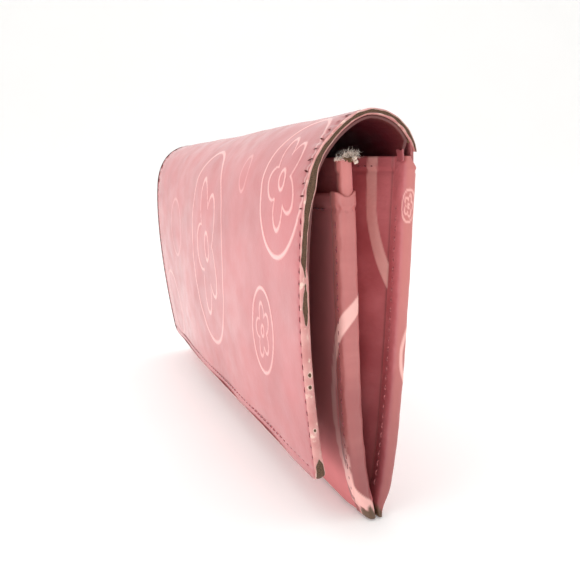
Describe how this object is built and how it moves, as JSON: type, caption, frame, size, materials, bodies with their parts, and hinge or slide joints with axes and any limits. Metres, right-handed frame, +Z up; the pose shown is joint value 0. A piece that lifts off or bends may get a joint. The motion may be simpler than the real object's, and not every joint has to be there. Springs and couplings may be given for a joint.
{
  "type": "long wallet",
  "caption": "Long flap wallet in patent leather, standing on its bottom fold, with end gussets, a bill compartment, card slots, a zipped coin pocket and a snap.",
  "frame": {"origin": "middle of the base strip's underside, on the surface the wallet stands on", "axes": "+X along the wallet's length, -Y towards the flap's front, +Z up"},
  "size_m": [0.19, 0.0302, 0.1012],
  "materials": {
    "patent_leather": "glossy embossed pink patent leather",
    "lining_leather": "smooth deep rose lining leather",
    "gusset_leather": "soft rose gusset leather",
    "edge_board": "brown stiffening board, bare where the edge paint has worn off",
    "zip_tape": "woven tape",
    "brass": "polished pale gold",
    "thread": "twisted thread"
  },
  "bodies": {
    "back": {"back_panel": "patent_leather", "back_board": "edge_board", "back_lining": "lining_leather", "base_strip": "patent_leather", "card_slot_upper": "lining_leather", "card_slot_middle": "lining_leather", "card_slot_lower": "lining_leather", "flange_right_back": "gusset_leather", "flange_left_back": "gusset_leather", "thread_back_ends": "thread", "thread_card_slots": "thread"},
    "front": {"pocket_panel": "patent_leather", "pocket_lining": "lining_leather", "coin_wall_front": "patent_leather", "coin_wall_back": "lining_leather", "flange_right_front": "gusset_leather", "flange_left_front": "gusset_leather", "zip_tape_upper": "zip_tape", "zip_tape_lower": "zip_tape", "zip_teeth_upper": "brass", "zip_teeth_lower": "brass", "zip_end_stops": "brass", "snap_stud": "brass", "snap_stud_post": "brass", "thread_front_ends": "thread", "thread_pocket_hem": "thread", "thread_zip_window": "thread"},
    "flap": {"flap_panel": "patent_leather", "flap_board": "edge_board", "flap_lining": "lining_leather", "snap_socket": "brass", "snap_cap": "brass", "thread_flap_ends": "thread", "thread_flap_hem": "thread"},
    "leaf_right_back": {"gusset_right_back": "gusset_leather", "gusset_hem_right_back": "gusset_leather"},
    "leaf_right_front": {"gusset_right_front": "gusset_leather", "gusset_hem_right_front": "gusset_leather"},
    "leaf_left_back": {"gusset_left_back": "gusset_leather", "gusset_hem_left_back": "gusset_leather"},
    "leaf_left_front": {"gusset_left_front": "gusset_leather", "gusset_hem_left_front": "gusset_leather"},
    "zip_slider": {"zip_slider": "brass"},
    "zip_pull": {"zip_pull": "brass"}
  },
  "joints": [
    {"name": "flap_hinge", "type": "hinge", "parent": "back", "child": "flap", "pos_m": [0, 0.0107, 0.0895], "axis": [-1, 0, 0], "range_deg": [-3.2, 180]},
    {"name": "front_hinge", "type": "hinge", "parent": "back", "child": "front", "pos_m": [0, -0.001, 0.0014], "axis": [1, 0, 0], "range_deg": [-0.5, 7.5]},
    {"name": "gusset_right_back_fold", "type": "hinge", "parent": "back", "child": "leaf_right_back", "pos_m": [0.089, 0.0013, 0.003], "axis": [0, 0.0598, 0.9982], "range_deg": [-1, 25]},
    {"name": "gusset_right_front_fold", "type": "hinge", "parent": "front", "child": "leaf_right_front", "pos_m": [0.089, -0.0001, 0.003], "axis": [0, -0.0708, 0.9975], "range_deg": [-25, 1]},
    {"name": "gusset_left_back_fold", "type": "hinge", "parent": "back", "child": "leaf_left_back", "pos_m": [-0.089, 0.0013, 0.003], "axis": [0, 0.0598, 0.9982], "range_deg": [-25, 1]},
    {"name": "gusset_left_front_fold", "type": "hinge", "parent": "front", "child": "leaf_left_front", "pos_m": [-0.089, -0.0001, 0.003], "axis": [0, -0.0708, 0.9975], "range_deg": [-1, 25]},
    {"name": "zip_slide", "type": "slide", "parent": "front", "child": "zip_slider", "axis": [-1, 0, 0], "range_m": [0, 0.124]},
    {"name": "zip_pull_swing", "type": "hinge", "parent": "zip_slider", "child": "zip_pull", "pos_m": [0.062, -0.00507, 0.07988], "axis": [0, 0.9975, 0.0711], "range_deg": [-60, 60]}
  ],
  "couplings": [
    {"joint": "front_hinge", "follows": "flap_hinge", "ratio": 0.04},
    {"joint": "gusset_right_back_fold", "follows": "flap_hinge", "ratio": 0.136},
    {"joint": "gusset_right_front_fold", "follows": "flap_hinge", "ratio": -0.136},
    {"joint": "gusset_left_back_fold", "follows": "flap_hinge", "ratio": -0.136},
    {"joint": "gusset_left_front_fold", "follows": "flap_hinge", "ratio": 0.136}
  ]
}
